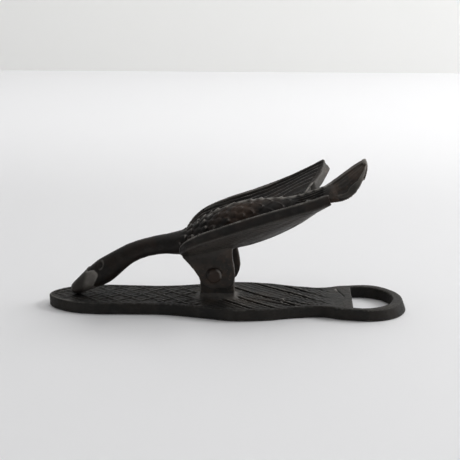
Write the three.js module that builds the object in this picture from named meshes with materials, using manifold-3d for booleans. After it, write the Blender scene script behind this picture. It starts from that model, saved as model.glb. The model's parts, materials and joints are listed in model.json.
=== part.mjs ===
// A cast-iron nutcracker shaped like a goose that stoops over a flat plate.
//
// The plate carries a post. The goose is a lever: two ears under its breast straddle the post and a rivet
// goes through all three. A nut is laid on the plate behind the post, and pressing the tail and wings down
// onto it cracks it, while the head lifts. At rest the bill lies on the plate.
//
// Frame, in millimetres: X runs along the plate from the head end to the finger ring, Y across it, Z up.
// The origin is the middle of the plate's length and width, on its underside.

import * as THREE from "three";
import { ParametricGeometry } from "three/addons/geometries/ParametricGeometry.js";
import { mergeVertices } from "three/addons/utils/BufferGeometryUtils.js";
import Module from "manifold-3d";

const wasm = await Module();
wasm.setup();

// ---------------------------------------------------------------- driving dimensions

const plate = {
  length: 175.2,
  thickness: 5.9,
  edgeRound: 0.7, // the softened edge of the casting
  headEndLength: 21, // how far the rounded head end runs before the plate is at its head width
  headHalfWidth: 14.2, // under the goose's head
  throatHalfWidth: 13.8, // between head and post, where the plate is a little narrower
  swellHalfWidth: 21, // beside and behind the post, where the nut lies
  waistHalfWidth: 14.2, // before the ring
  waistFromRingEnd: 44.5,
};
const ring = { radius: 19, holeRadius: 15.3, holeFromRingEnd: 21.2, straightEdge: 4.5 };

const pivot = { fromHeadEnd: 82.2, abovePlate: 13 };
const rivet = { shankRadius: 2.5, headRadius: 3.8, headTopRadius: 2.7, headHeight: 1.2 };
const post = { front: 7.1, back: 9.6, thickness: 7.8 }; // front and back are measured from the pivot
const ear = {
  thickness: 4.3,
  lobeRadius: 7.4, // round the rivet
  back: 9.3, // from the pivot to the ear's rear edge
  farBulge: 3.4, // the far ear was cast fuller at its rear edge
  plateClearance: 0.9, // between the swinging ears and the plate
};

const fit = { side: 0.35, bore: 0.3, rest: 0.35, postTop: 0.5 }; // gaps left between the three pieces
const swing = THREE.MathUtils.degToRad(42); // how far the goose turns, and a degree to spare

const goose = {
  billInset: 11.1, // from the plate's head end to the tip of the bill
  wingSpan: 70, // over the rear tips
  wingRise: 47.4, // from the pivot up to the rear tips
  rimThickness: 5.3, // the wings' outer edge
  tailHalfWidth: 11.4,
  tailThickness: 2.8,
  tailDroop: 7, // how far the fan's sides hang below its middle
};

// ---------------------------------------------------------------- derived places

const headEnd = -plate.length / 2;
const ringEnd = plate.length / 2;
const pivotX = headEnd + pivot.fromHeadEnd;
const pivotZ = plate.thickness + pivot.abovePlate;
const neckReach = pivot.fromHeadEnd - goose.billInset;
const slotHalf = post.thickness / 2 + fit.side;
const earOuter = slotHalf + ear.thickness;
const holeRadius = rivet.shankRadius + fit.bore;

// ---------------------------------------------------------------- helpers

// A closed three.js geometry as a manifold-3d solid.
function solid(geometry, matrix = new THREE.Matrix4()) {
  const bare = geometry.clone().applyMatrix4(matrix);
  bare.deleteAttribute("normal");
  bare.deleteAttribute("uv");
  const merged = mergeVertices(bare, 1e-4);
  const index = merged.index.array;
  const kept = [];
  for (let i = 0; i < index.length; i += 3) {
    const [a, b, c] = index.slice(i, i + 3);
    if (a !== b && b !== c && c !== a) kept.push(a, b, c);
  }
  return new wasm.Manifold(
    new wasm.Mesh({
      numProp: 3,
      vertProperties: new Float32Array(merged.attributes.position.array),
      triVerts: new Uint32Array(kept),
    }),
  );
}

// A solid as a named mesh whose geometry three.js can draw.
function namedMesh(name, body, material) {
  const { numProp, vertProperties, triVerts } = body.getMesh();
  const positions = new Float32Array((vertProperties.length / numProp) * 3);
  for (let i = 0; i < positions.length / 3; i++) {
    positions.set(vertProperties.subarray(i * numProp, i * numProp + 3), i * 3);
  }
  const geometry = new THREE.BufferGeometry()
    .setAttribute("position", new THREE.BufferAttribute(positions, 3))
    .setIndex(new THREE.BufferAttribute(triVerts, 1));
  geometry.computeVertexNormals();
  const mesh = new THREE.Mesh(geometry, material);
  mesh.name = name;
  return mesh;
}

// A closed skin over a row of rings. ringAt(v) gives the points of one ring for v from 0 to 1, anticlockwise
// seen from its start, and each end is closed by drawing its ring in to its middle.
function skin(ringAt, along) {
  const around = ringAt(0).length;
  const rows = Array.from({ length: along + 1 }, (_, i) => ringAt(i / along));
  const middle = (points) =>
    points.reduce((sum, p) => sum.add(p), new THREE.Vector3()).divideScalar(points.length);
  const first = Array(around).fill(middle(rows[0]));
  const last = Array(around).fill(middle(rows[along]));
  const all = [first, ...rows, last];
  const point = (u, v, target) => {
    const row = all[Math.round(v * (all.length - 1))];
    target.copy(row[Math.round(u * around) % around]);
  };
  return new ParametricGeometry(point, around, all.length - 1);
}

// A flat outline in X and Z, drawn about the pivot, as a plate of that thickness centred on y.
function uprightPlate(shape, thickness, y) {
  const geometry = new THREE.ExtrudeGeometry(shape, {
    depth: thickness,
    bevelEnabled: false,
    curveSegments: 12,
  });
  const stand = new THREE.Matrix4().makeRotationX(Math.PI / 2).setPosition(0, y + thickness / 2, 0);
  return solid(geometry, stand);
}

// A round bar along Y about the pivot.
function crossBar(radius, length) {
  return solid(new THREE.CylinderGeometry(radius, radius, length, 40));
}

// Moves a solid drawn about the pivot to its place in the part.
function placed(body) {
  return body.translate(pivotX, 0, pivotZ);
}

// ---------------------------------------------------------------- plate with its post

function plateOutline() {
  const headSide = [
    [plate.headEndLength, plate.headHalfWidth * 0.965],
    [plate.headEndLength + 7, plate.headHalfWidth],
    [plate.headEndLength + 22, plate.throatHalfWidth],
    [pivot.fromHeadEnd - 24, plate.throatHalfWidth],
    [pivot.fromHeadEnd - 9, plate.throatHalfWidth + (plate.swellHalfWidth - plate.throatHalfWidth) * 0.42],
    [pivot.fromHeadEnd + 8, plate.swellHalfWidth],
  ].map(([fromHeadEnd, halfWidth]) => [headEnd + fromHeadEnd, halfWidth]);
  const swellEnd = pivotX + 18;
  const waist = ringEnd - plate.waistFromRingEnd;
  const between = (share) => THREE.MathUtils.lerp(swellEnd, waist, share);
  const widthDrop = plate.swellHalfWidth - plate.waistHalfWidth;
  const ringCentre = ringEnd - ring.radius;
  const ringSide = [
    [swellEnd, plate.swellHalfWidth - widthDrop * 0.03],
    [between(0.33), plate.swellHalfWidth - widthDrop * 0.25],
    [between(0.62), plate.swellHalfWidth - widthDrop * 0.66],
    [waist, plate.waistHalfWidth],
    [waist + 7, plate.waistHalfWidth + (ring.radius - plate.waistHalfWidth) * 0.12],
    [ringCentre - 12, plate.waistHalfWidth + (ring.radius - plate.waistHalfWidth) * 0.62],
    [ringCentre, ring.radius],
  ];
  const side = new THREE.SplineCurve([...headSide, ...ringSide].map((p) => new THREE.Vector2(...p)));

  const farSide = [];
  // The head end is fuller than a point and slimmer than a half circle.
  const bluntness = 1.7;
  const endSteps = 9;
  for (let i = 0; i < endSteps; i++) {
    const angle = (i / endSteps) * (Math.PI / 2);
    const x = headEnd + plate.headEndLength * (1 - Math.cos(angle) ** (2 / bluntness));
    farSide.push([x, headSide[0][1] * Math.sin(angle) ** (2 / bluntness)]);
  }
  farSide.push(...side.getPoints(36).map((p) => [p.x, p.y]));
  const ringSteps = 12;
  for (let i = 1; i <= ringSteps; i++) {
    const angle = (Math.PI / 2) * (1 - i / ringSteps);
    farSide.push([ringCentre + ring.radius * Math.cos(angle), ring.radius * Math.sin(angle)]);
  }
  const nearSide = farSide
    .slice(1, -1)
    .reverse()
    .map(([x, y]) => [x, -y]);
  return new THREE.Shape([...farSide, ...nearSide].map(([x, y]) => new THREE.Vector2(x, y)));
}

// The finger hole is a circle with one straight edge, towards the post.
function fingerHole() {
  const centre = ringEnd - ring.holeFromRingEnd;
  const half = Math.acos(-ring.straightEdge / ring.holeRadius);
  const hole = new THREE.Path();
  hole.absarc(centre, 0, ring.holeRadius, -half, half, false);
  hole.closePath();
  return hole;
}

function plateSolid() {
  const outline = plateOutline();
  outline.holes.push(fingerHole());
  const geometry = new THREE.ExtrudeGeometry(outline, {
    depth: plate.thickness - 2 * plate.edgeRound,
    bevelThickness: plate.edgeRound,
    bevelSize: plate.edgeRound,
    bevelOffset: -plate.edgeRound,
    bevelSegments: 2,
    curveSegments: 18,
  });
  return solid(geometry, new THREE.Matrix4().makeTranslation(0, 0, plate.edgeRound));
}

// The post's top is round about the pivot, so that the goose can swing over it.
function postSolid() {
  const foot = -pivot.abovePlate - plate.thickness / 2;
  const topRadius = Math.max(post.front, post.back);
  const frontAngle = Math.acos(-post.front / topRadius);
  const shape = new THREE.Shape();
  shape.moveTo(-post.front, foot);
  shape.lineTo(post.back, foot);
  shape.absarc(0, 0, topRadius, Math.acos(post.back / topRadius), frontAngle, false);
  shape.closePath();
  const drilled = uprightPlate(shape, post.thickness, 0).subtract(crossBar(holeRadius, post.thickness * 2));
  return placed(drilled);
}

// ---------------------------------------------------------------- goose: everything here is about the pivot

// Stations from the bill's tip to the root of the tail: place along the neck or the back, height above the
// pivot, half height and half width. Those in front of the pivot are shares of the neck's reach.
const neckStations = [
  [-0.998, -10.3, 0.9, 1.8],
  [-0.984, -10.4, 2.1, 3.4],
  [-0.955, -9.7, 3.2, 4.4],
  [-0.9, -7.6, 4.2, 4.6],
  [-0.833, -4.1, 5.2, 5.3],
  [-0.767, -0.6, 5.7, 5.8],
  [-0.709, 2.4, 5.3, 5.2],
  [-0.616, 6.9, 4.8, 4.7],
  [-0.477, 11.1, 4.5, 4.4],
  [-0.378, 12.8, 4.6, 4.6],
  [-0.294, 13.4, 5.3, 5.6],
  [-0.221, 13.9, 6.1, 7.2],
  [-0.129, 16, 7.5, 9.2],
  [-0.024, 18.9, 9.7, 10.5],
].map(([share, ...rest]) => [share * neckReach, ...rest]);
const backStations = [
  [7.3, 22.2, 11.2, 11],
  [17.3, 25.3, 11.7, 10.4],
  [27.3, 27.6, 10, 8.8],
  [37.3, 30.2, 7.6, 7],
  [45.3, 33.8, 5.8, 5.6],
  [52.3, 37.5, 5.1, 5],
  [58, 41.5, 3.4, 4.6],
];

function bodySolid() {
  const stations = [...neckStations, ...backStations];
  const spine = new THREE.CatmullRomCurve3(stations.map(([x, z]) => new THREE.Vector3(x, 0, z)));
  const sizes = new THREE.CatmullRomCurve3(stations.map(([, , high, wide]) => new THREE.Vector3(high, wide, 0)));
  const around = 16;
  const ringAt = (v) => {
    const centre = spine.getPoint(v);
    const tangent = spine.getTangent(v);
    const up = new THREE.Vector3(-tangent.z, 0, tangent.x);
    const size = sizes.getPoint(v);
    return Array.from({ length: around }, (_, i) => {
      const angle = (i / around) * 2 * Math.PI;
      return centre
        .clone()
        .addScaledVector(up, size.x * Math.cos(angle))
        .add(new THREE.Vector3(0, -size.y * Math.sin(angle), 0));
    });
  };
  return solid(skin(ringAt, 46));
}

// A wing is a thick blade between four rails: its outer rim's top and bottom, its root along the body's
// flank, and the keel under the belly. Its places are for the far wing, and the near one mirrors it.
function wingSolid(side) {
  const out = goose.wingSpan / 70;
  const rise = goose.wingRise / 47.4;
  const rimTop = [
    [-16.9, 9, 13.6],
    [-15.6, 13.5, 17.2],
    [-12.2, 19.5, 21],
    [-8.7, 22.8, 23.9],
    [-3.7, 24.9, 26.6],
    [6.3, 26, 30.5],
    [16.3, 25.6, 33.9],
    [26.3, 26.4, 37.3],
    [36.3, 28.8, 40.9],
    [46.3, 32.3, 44.7],
    [53.6, 35, 47.4],
  ];
  const root = [
    [-15.2, 4, 12],
    [-13, 5.5, 14],
    [-10, 7, 17.5],
    [-7, 8, 19.5],
    [-2, 8.5, 21],
    [6, 9, 23],
    [15, 9, 26.6],
    [22, 8.5, 29.4],
    [29, 7.5, 32.3],
    [35, 6.8, 34.8],
    [42.6, 6.4, 37.6],
  ];
  const keel = [
    [-13.5, 1, 8.2],
    [-12, 1, 7.6],
    [-9, 1, 7.6],
    [-6, 1, 8],
    [-1, 1, 8.7],
    [6, 1, 9.9],
    [14, 1, 11.4],
    [21, 1, 14],
    [28.5, 1, 17.1],
    [34.5, 1, 20.2],
    [43.4, -6, 31.6],
  ];
  const rail = (points) => new THREE.CatmullRomCurve3(points.map((p) => new THREE.Vector3(...p)));
  const rimTopRail = rail(rimTop.map(([x, y, z]) => [x, y * out, z * rise]));
  const rootRail = rail(root);
  const keelRail = rail(keel.map(([x, y, z]) => [x, -y, z]));
  const ringAt = (v) => {
    const top = rimTopRail.getPoint(v);
    const flank = rootRail.getPoint(v);
    const belly = keelRail.getPoint(v);
    const thickness = goose.rimThickness * (0.8 + 0.2 * Math.min(1, 4 * v));
    const rake = 0.2 + 0.2 * v ** 6; // the rim leans back, most of all at the tip
    const bottom = top.clone().add(new THREE.Vector3(rake, 0, -0.95).multiplyScalar(thickness));
    const underside = bottom.clone().lerp(belly, 0.5).add(new THREE.Vector3(0, 0, -0.6));
    const hollow = top.clone().lerp(flank, 0.5).add(new THREE.Vector3(0, 0, -0.6));
    const ring = [top, bottom, underside, belly, flank, hollow].map((p) => p.setY(p.y * side));
    return side > 0 ? ring.reverse() : ring;
  };
  return solid(skin(ringAt, 30));
}

// The tail is a fan that turns up more steeply than the back, with its sides hanging like a shallow roof.
// Each row is the place of its ridge, its half width, its thickness and how far its sides hang.
function tailSolid() {
  const { tailHalfWidth: wide, tailThickness: thick, tailDroop: droop } = goose;
  const rows = [
    [48.5, 39.6, wide * 0.47, thick * 2, droop * 0.26],
    [54.4, 43.1, wide * 0.77, thick * 1.3, droop * 0.74],
    [59.4, 47.1, wide, thick * 1.07, droop],
    [64.8, 51.8, wide * 0.86, thick, droop * 0.63],
    [69, 55, wide * 0.55, thick * 0.93, droop * 0.24],
    [71.2, 56.6, wide * 0.22, thick * 0.8, droop * 0.05],
  ];
  const line = new THREE.CatmullRomCurve3(rows.map(([x, z]) => new THREE.Vector3(x, 0, z)));
  const sizes = new THREE.CatmullRomCurve3(rows.map((row) => new THREE.Vector3(...row.slice(2))));
  const across = 8;
  const shares = Array.from({ length: across + 1 }, (_, i) => -1 + (2 * i) / across);
  const ringAt = (v) => {
    const ridge = line.getPoint(v);
    const tangent = line.getTangent(v);
    const up = new THREE.Vector3(-tangent.z, 0, tangent.x);
    const size = sizes.getPoint(v);
    const place = (share, depth) =>
      ridge
        .clone()
        .addScaledVector(up, -size.z * share * share - depth * size.y)
        .add(new THREE.Vector3(0, size.x * share, 0));
    const edgeThinning = (share) => 0.12 * share ** 4;
    const top = shares.map((share) => place(share, edgeThinning(share))).reverse();
    const bottom = shares.map((share) => place(share, 1 - edgeThinning(share)));
    return [...top, ...bottom];
  };
  return solid(skin(ringAt, 12));
}

// An ear hangs from the breast, round at its lower front about the rivet and straight at the back.
function earSolid(side) {
  const back = ear.back + (side > 0 ? ear.farBulge : 0);
  const footRadius = pivot.abovePlate - ear.plateClearance;
  const footDrop = ear.lobeRadius * 0.9;
  const footBack = Math.min(back - 0.6, Math.sqrt(footRadius ** 2 - footDrop ** 2));
  const shape = new THREE.Shape();
  shape.moveTo(-15.5, 12.5);
  shape.lineTo(-15.1, 8.2);
  shape.lineTo(-12.2, 5.3);
  shape.lineTo(-9.3, 1.8);
  shape.lineTo(-ear.lobeRadius, -0.6);
  shape.absarc(0, 0, ear.lobeRadius, Math.PI * 1.03, Math.PI * 1.55, false);
  shape.lineTo(footBack, -footDrop);
  if (side > 0) shape.splineThru([new THREE.Vector2(back, 4.5), new THREE.Vector2(back - 1.4, 14)]);
  else shape.splineThru([new THREE.Vector2(back - 0.8, 8.5), new THREE.Vector2(back - 0.6, 13)]);
  shape.lineTo(0, 17);
  shape.closePath();
  return uprightPlate(shape, ear.thickness, side * (slotHalf + ear.thickness / 2));
}

// The room that the post needs between the ears through the whole swing.
function postRoom() {
  const width = 2 * slotHalf;
  const topRadius = Math.max(post.front, post.back) + fit.postTop;
  const depth = pivot.abovePlate + 12;
  const leg = new THREE.BoxGeometry(post.front + post.back + 2 * fit.postTop, width, depth);
  const steps = 3;
  let room = crossBar(topRadius, width);
  for (let i = 0; i <= steps; i++) {
    const turn = new THREE.Matrix4().makeRotationY(-(i / steps) * swing);
    const down = new THREE.Matrix4().makeTranslation((post.back - post.front) / 2, 0, -depth / 2);
    room = room.add(solid(leg, turn.multiply(down)));
  }
  return room;
}

// The goose is drawn with its bill just on the plate. If the pivot's height or the neck's reach changes, the
// goose turns until its bill is back on the plate.
function turnToRest() {
  const drawnDrop = 12.65;
  const reach = Math.hypot(neckReach * 0.96, drawnDrop);
  const turn = Math.asin(drawnDrop / reach) - Math.asin((pivot.abovePlate - fit.rest) / reach);
  return new THREE.Matrix4().makeRotationY(turn);
}

function gooseSolid() {
  const shapes = [bodySolid(), wingSolid(1), wingSolid(-1), tailSolid(), earSolid(1), earSolid(-1)];
  const whole = shapes.reduce((a, b) => a.add(b)).transform(turnToRest().toArray());
  return placed(whole.subtract(postRoom()).subtract(crossBar(holeRadius, earOuter * 3)));
}

// ---------------------------------------------------------------- rivet

function rivetSolid() {
  const half = earOuter + fit.rest;
  const end = half + rivet.headHeight;
  const shoulder = half + rivet.headHeight * 0.35;
  const profile = [
    [0, -end],
    [rivet.headTopRadius, -end],
    [rivet.headRadius, -shoulder],
    [rivet.headRadius, -half],
    [rivet.shankRadius, -half],
    [rivet.shankRadius, half],
    [rivet.headRadius, half],
    [rivet.headRadius, shoulder],
    [rivet.headTopRadius, end],
    [0, end],
  ].map((p) => new THREE.Vector2(...p));
  return placed(solid(new THREE.LatheGeometry(profile, 36)));
}

// ---------------------------------------------------------------- materials and assembly

const darkIron = new THREE.MeshStandardMaterial({ color: 0x2b2723, roughness: 0.5, metalness: 0.75 });
const plateIron = new THREE.MeshStandardMaterial({ color: 0x2a2927, roughness: 0.55, metalness: 0.75 });
const rivetSteel = new THREE.MeshStandardMaterial({ color: 0x35302d, roughness: 0.45, metalness: 0.85 });

const nutcracker = new THREE.Group();
nutcracker.add(namedMesh("base_plate", plateSolid().add(postSolid()), plateIron));
nutcracker.add(namedMesh("goose_lever", gooseSolid(), darkIron));
nutcracker.add(namedMesh("pivot_rivet", rivetSolid(), rivetSteel));

export default nutcracker;
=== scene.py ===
# %% [markdown]
# # A goose nutcracker in old cast iron
# Three real pieces: a long plate with a post and a finger ring, a stooping goose that is the lever, and the
# rivet that joins them. The measured frame says where each one is and how it turns. Here each gets the shape
# and skin of an old sand casting: crisp once, then rubbed round by a century of hands.

# %% Load the frame
import json
import math

import bmesh
import bpy
import numpy as np
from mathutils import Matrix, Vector
from mathutils.kdtree import KDTree

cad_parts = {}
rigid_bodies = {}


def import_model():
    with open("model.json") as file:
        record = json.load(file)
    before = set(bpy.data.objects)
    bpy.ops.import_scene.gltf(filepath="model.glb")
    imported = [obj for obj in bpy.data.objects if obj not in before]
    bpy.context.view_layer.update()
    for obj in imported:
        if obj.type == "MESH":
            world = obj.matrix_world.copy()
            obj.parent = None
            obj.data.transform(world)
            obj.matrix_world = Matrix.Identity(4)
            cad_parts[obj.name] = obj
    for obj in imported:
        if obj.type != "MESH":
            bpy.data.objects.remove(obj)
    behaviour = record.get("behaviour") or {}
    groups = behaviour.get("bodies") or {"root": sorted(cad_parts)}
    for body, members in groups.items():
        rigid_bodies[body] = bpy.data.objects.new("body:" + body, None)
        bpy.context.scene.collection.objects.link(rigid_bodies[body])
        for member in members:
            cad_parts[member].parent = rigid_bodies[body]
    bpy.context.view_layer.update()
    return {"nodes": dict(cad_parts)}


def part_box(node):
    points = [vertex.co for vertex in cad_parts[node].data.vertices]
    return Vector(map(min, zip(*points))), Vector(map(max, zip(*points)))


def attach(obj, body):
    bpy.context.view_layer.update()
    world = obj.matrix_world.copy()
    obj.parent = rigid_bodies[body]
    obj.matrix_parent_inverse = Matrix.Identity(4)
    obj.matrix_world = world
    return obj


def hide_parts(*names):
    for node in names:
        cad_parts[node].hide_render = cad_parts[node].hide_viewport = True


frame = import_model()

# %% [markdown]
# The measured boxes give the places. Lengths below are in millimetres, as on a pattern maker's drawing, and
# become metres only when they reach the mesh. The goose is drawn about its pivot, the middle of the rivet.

MM = 0.001
rivet_low, rivet_high = (np.array(corner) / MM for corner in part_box("pivot_rivet"))
plate_low, plate_high = (np.array(corner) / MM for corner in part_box("base_plate"))
PIVOT = (rivet_low + rivet_high) / 2
PLATE_TOP = 5.9
print("pivot at", PIVOT.round(2), "mm, plate", (plate_high - plate_low).round(1), "mm")

# %% [markdown]
# A few bench helpers. One clears the selection, because loading leaves the frame's own nodes selected. One
# applies a modifier, and one settles a piece at the origin. The rest carry a mesh's points, normals and edges
# out to number arrays, and its points back, for the relief work later.

# %% Bench helpers
def only(piece):
    if bpy.context.mode != "OBJECT":
        bpy.ops.object.mode_set(mode="OBJECT")
    bpy.ops.object.select_all(action="DESELECT")
    piece.select_set(True)
    bpy.context.view_layer.objects.active = piece
    return piece


def apply_modifier(piece, kind, **settings):
    only(piece)
    modifier = piece.modifiers.new(kind, kind)
    for name, value in settings.items():
        setattr(modifier, name, value)
    bpy.ops.object.modifier_apply(modifier=modifier.name)
    return piece


def settle(piece):
    """The object goes back to the origin and its place stays in its mesh."""
    only(piece)
    bpy.ops.object.transform_apply(location=True, rotation=True, scale=True)
    return piece


def points_of(piece):
    found = np.empty(len(piece.data.vertices) * 3)
    piece.data.vertices.foreach_get("co", found)
    return found.reshape(-1, 3) / MM


def normals_of(piece):
    found = np.empty(len(piece.data.vertices) * 3, np.float32)
    piece.data.vertex_normals.foreach_get("vector", found)
    return found.reshape(-1, 3).astype(float)


def put_points(piece, points):
    piece.data.vertices.foreach_set("co", (points * MM).ravel())
    piece.data.update()


def edges_of(piece):
    found = np.empty(len(piece.data.edges) * 2, np.int32)
    piece.data.edges.foreach_get("vertices", found)
    return found.reshape(-1, 2)


# %% [markdown]
# Most shapes here are drawn out: a ring of points is pulled from one station to the next, as a smith draws a
# bar. A lattice or a sculpted sphere could do it too, but extruding one ring keeps every station a number
# that can be measured. Subdivision then rounds the ring.

# %% Draw a ring out through its stations
def draw_out(name, rings, smooth_levels=2):
    bpy.ops.object.select_all(action="DESELECT")
    bpy.ops.mesh.primitive_circle_add(vertices=len(rings[0]), radius=MM, fill_type="NGON")
    piece = bpy.context.object
    piece.name = name
    bpy.ops.object.mode_set(mode="EDIT")
    mesh = bmesh.from_edit_mesh(piece.data)
    mesh.verts.ensure_lookup_table()
    order = {vertex.index: i for i, vertex in enumerate(mesh.verts)}
    for vertex in mesh.verts:
        vertex.co = rings[0][order[vertex.index]] * MM
    bmesh.update_edit_mesh(piece.data)
    for last, following in zip(rings, rings[1:]):
        bpy.ops.mesh.extrude_region_move()
        mesh = bmesh.from_edit_mesh(piece.data)
        for vertex in mesh.verts:
            if vertex.select:
                here = np.array(vertex.co) / MM
                slot = int(np.argmin(((last - here) ** 2).sum(1)))
                vertex.co = following[slot] * MM
        bmesh.update_edit_mesh(piece.data)
    bpy.ops.mesh.select_all(action="SELECT")
    bpy.ops.mesh.normals_make_consistent(inside=False)
    bpy.ops.object.mode_set(mode="OBJECT")
    if smooth_levels:
        apply_modifier(piece, "SUBSURF", levels=smooth_levels, render_levels=smooth_levels)
    return piece


def fullness(count):
    """Subdivision draws a round ring in a little. This puts it back."""
    return 3 / (2 + math.cos(2 * math.pi / count))


# %% [markdown]
# ## The goose
# The body is one long loft from the bill's tip over the head, the bent neck and the back to the root of the
# tail. Each station holds its place along the goose and its height, both from the pivot, then half its height
# and half its width.

# %% Body, neck and head
NECK_AND_BACK = [
    (-70.9, -10.3, 1.2, 2.0), (-69.9, -10.3, 2.1, 3.4), (-67.9, -9.7, 3.1, 4.1), (-65.6, -8.4, 3.6, 3.8),
    (-63.4, -6.8, 4.1, 4.0), (-61.4, -5.5, 4.7, 4.9), (-59.2, -4.3, 5.5, 5.5), (-54.5, -1.1, 6.3, 5.8),
    (-50.4, 1.9, 5.8, 5.3), (-43.8, 6.9, 4.8, 4.7), (-38.5, 9.5, 4.6, 4.5), (-33.9, 11.2, 4.5, 4.4),
    (-26.9, 12.8, 4.6, 4.6), (-20.9, 13.4, 5.2, 5.6), (-15.7, 13.8, 6.0, 7.2), (-9.2, 15.8, 7.2, 9.0),
    (-1.7, 18.6, 9.2, 10.3), (7.3, 21.9, 10.8, 10.8), (17.3, 25.0, 11.2, 10.2), (27.3, 27.3, 9.7, 8.6),
    (37.3, 30.0, 7.4, 6.8), (45.3, 33.8, 5.7, 5.6), (52.3, 37.8, 4.9, 5.0), (57.0, 41.0, 3.4, 4.2),
]


def across_the_line(places):
    """The unit direction square to a line in X and Z, at each of its points."""
    along = np.gradient(places, axis=0)
    along /= np.linalg.norm(along, axis=1)[:, None]
    return np.stack([-along[:, 2], np.zeros(len(along)), along[:, 0]], 1)


def body_rings(stations, count=16):
    stations = np.array(stations)
    centres = np.stack([stations[:, 0], np.zeros(len(stations)), stations[:, 1]], 1)
    ups = across_the_line(centres)
    angles = np.arange(count) / count * 2 * math.pi
    rings = []
    for centre, up, (_, _, high, wide) in zip(centres, ups, stations):
        rise = np.cos(angles)[:, None] * up * high
        spread = np.sin(angles)[:, None] * np.array([0, wide, 0])
        rings.append(PIVOT + centre + (rise + spread) * fullness(count))
    return rings


goose_body = draw_out("goose_body", body_rings(NECK_AND_BACK))
print("goose body:", len(goose_body.data.polygons), "faces")

# %% [markdown]
# A wing is a thick blade held between four lines: the upper and the lower edge of its rim, its root on the
# flank, and the keel under the belly. The rim is a broad flat band that the hand presses on, and it rakes
# back as it drops. The top dips between rim and back. The two wings of an old casting never match: the far
# one stands a little higher, and its tip is fuller.

# %% Wings
RIM_TOP = np.array([
    (-17.4, 7.0, 12.2), (-16.6, 10.6, 14.6), (-14.6, 15.8, 18.2), (-11.6, 20.2, 21.5), (-7.6, 23.4, 24.5),
    (-1.6, 25.2, 27.4), (6.3, 25.9, 30.4), (16.3, 25.6, 33.8), (26.3, 26.4, 37.2), (36.3, 28.8, 40.8),
    (46.3, 32.3, 44.8), (51.4, 34.3, 47.3), (53.0, 34.8, 47.9),
])
ROOT = np.array([
    (-15.2, 4, 12), (-14, 5, 13), (-12, 6.2, 15), (-9.5, 7.2, 17.8), (-6, 8.1, 19.8),
    (0, 8.8, 21.4), (7, 9, 23.3), (15, 9, 26.4), (22, 8.5, 29.4), (29, 7.5, 32.3),
    (35, 6.8, 34.8), (41.2, 6.5, 37.2), (43.2, 6.5, 38.0),
])
KEEL = np.array([
    (-13.5, 1, 8.4), (-12.8, 1, 8), (-11, 1, 7.8), (-8.4, 1, 7.9), (-5, 1, 8.2),
    (0, 1, 8.9), (7, 1, 10.2), (14.5, 1, 11.8), (21.5, 1, 14.4), (28.5, 1, 17.4),
    (34.5, 1.6, 20.8), (41.0, 4.6, 29.0), (43.8, 6.4, 32.4),
])
BAND_HEIGHT = [3.0, 3.7, 4.3, 4.8, 5.1, 5.3, 5.4, 5.5, 5.5, 5.4, 5.3, 5.2, 5.0]
BAND_RAKE = [0.8, 0.9, 1.0, 1.1, 1.2, 1.4, 1.4, 1.4, 1.4, 1.4, 1.6, 1.8, 1.7]
TIP_FULLNESS = [0, 0, 0, 0, 0, 0, 0, 0, 0, 0, 0, 0.9, 2.0]
TIP_ROUNDING = 0.9
FAR_WING_LIFT = 0.5


def wing_rings(side):
    rings = []
    for top, root, keel, drop, rake, full in zip(RIM_TOP, ROOT, KEEL, BAND_HEIGHT, BAND_RAKE, TIP_FULLNESS):
        low = top + np.array([rake + full * (side > 0), -0.2, -drop])
        inward = (root - top) / np.linalg.norm(root - top)
        under = (keel - low) / np.linalg.norm(keel - low)
        dip, bulge = np.array([0, 0, -1.1]), np.array([full, 0, 0])
        ring = np.array([
            top, top * 0.85 + low * 0.15, top * 0.2 + low * 0.8, low, low + under * 1.2,
            low * 0.6 + keel * 0.4 + dip + bulge * 0.6, low * 0.25 + keel * 0.75 + dip * 0.5 + bulge * 0.3,
            keel, root, root * 0.75 + top * 0.25 + dip * 0.5 + bulge * 0.4,
            root * 0.4 + top * 0.6 + dip * 1.2 + bulge, top + inward * 3.0 + dip * 0.9 + bulge * 0.9,
            top + inward * 0.8 - np.array([0, 0, 0.1]),
        ])
        ring[:, 1] *= side
        ring[:, 2] += FAR_WING_LIFT * (side > 0) * np.abs(ring[:, 1]) / 30
        rings.append(PIVOT + ring)
    inward = rings[-1].mean(0) - rings[-1]
    inward /= np.linalg.norm(inward, axis=1)[:, None]
    rings.append(rings[-1] + inward * TIP_ROUNDING + (TIP_ROUNDING, 0, 0))
    return rings


goose_wings = [draw_out("goose_wing", wing_rings(side)) for side in (1, -1)]
print("wings span", round(2 * RIM_TOP[:, 1].max(), 1), "mm")

# %% [markdown]
# The tail is a fan that turns up at the end of the back. Its sides hang, so it is like a shallow roof. The
# numbers are the ridge's place, the half width, the thickness and how far the sides hang.

# %% Tail
TAIL = np.array([
    (47.5, 38.9, 4.6, 6.0, 1.0), (51.0, 41.6, 6.9, 4.8, 2.4), (54.4, 44.2, 9.8, 3.9, 5.8),
    (59.4, 48.1, 12.0, 3.1, 8.3), (64.8, 52.4, 11.0, 2.8, 6.6), (68.6, 55.0, 8.6, 2.7, 4.2),
    (70.9, 56.1, 5.8, 2.6, 2.0), (72.1, 56.5, 3.0, 2.2, 0.6),
])


def tail_rings(rows, across=8):
    ridge = np.stack([rows[:, 0], np.zeros(len(rows)), rows[:, 1]], 1)
    ups = across_the_line(ridge)
    shares = np.linspace(-1, 1, across + 1)[:, None]
    rings = []
    for place, up, (_, _, wide, thick, hang) in zip(ridge, ups, rows):
        surface = place - up * hang * shares**2 + np.array([0, wide, 0]) * shares
        rings.append(PIVOT + np.concatenate([surface, (surface - up * thick)[::-1]]))
    return rings


goose_tail = draw_out("goose_tail", tail_rings(TAIL))

# %% [markdown]
# Two ears hang from the breast and straddle the post. Each is a flat outline, rounded about the rivet, given
# its thickness by one extrusion and its soft corners by a bevel. The bore is cut before the ears join the
# body, while the meshes are still light.

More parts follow.
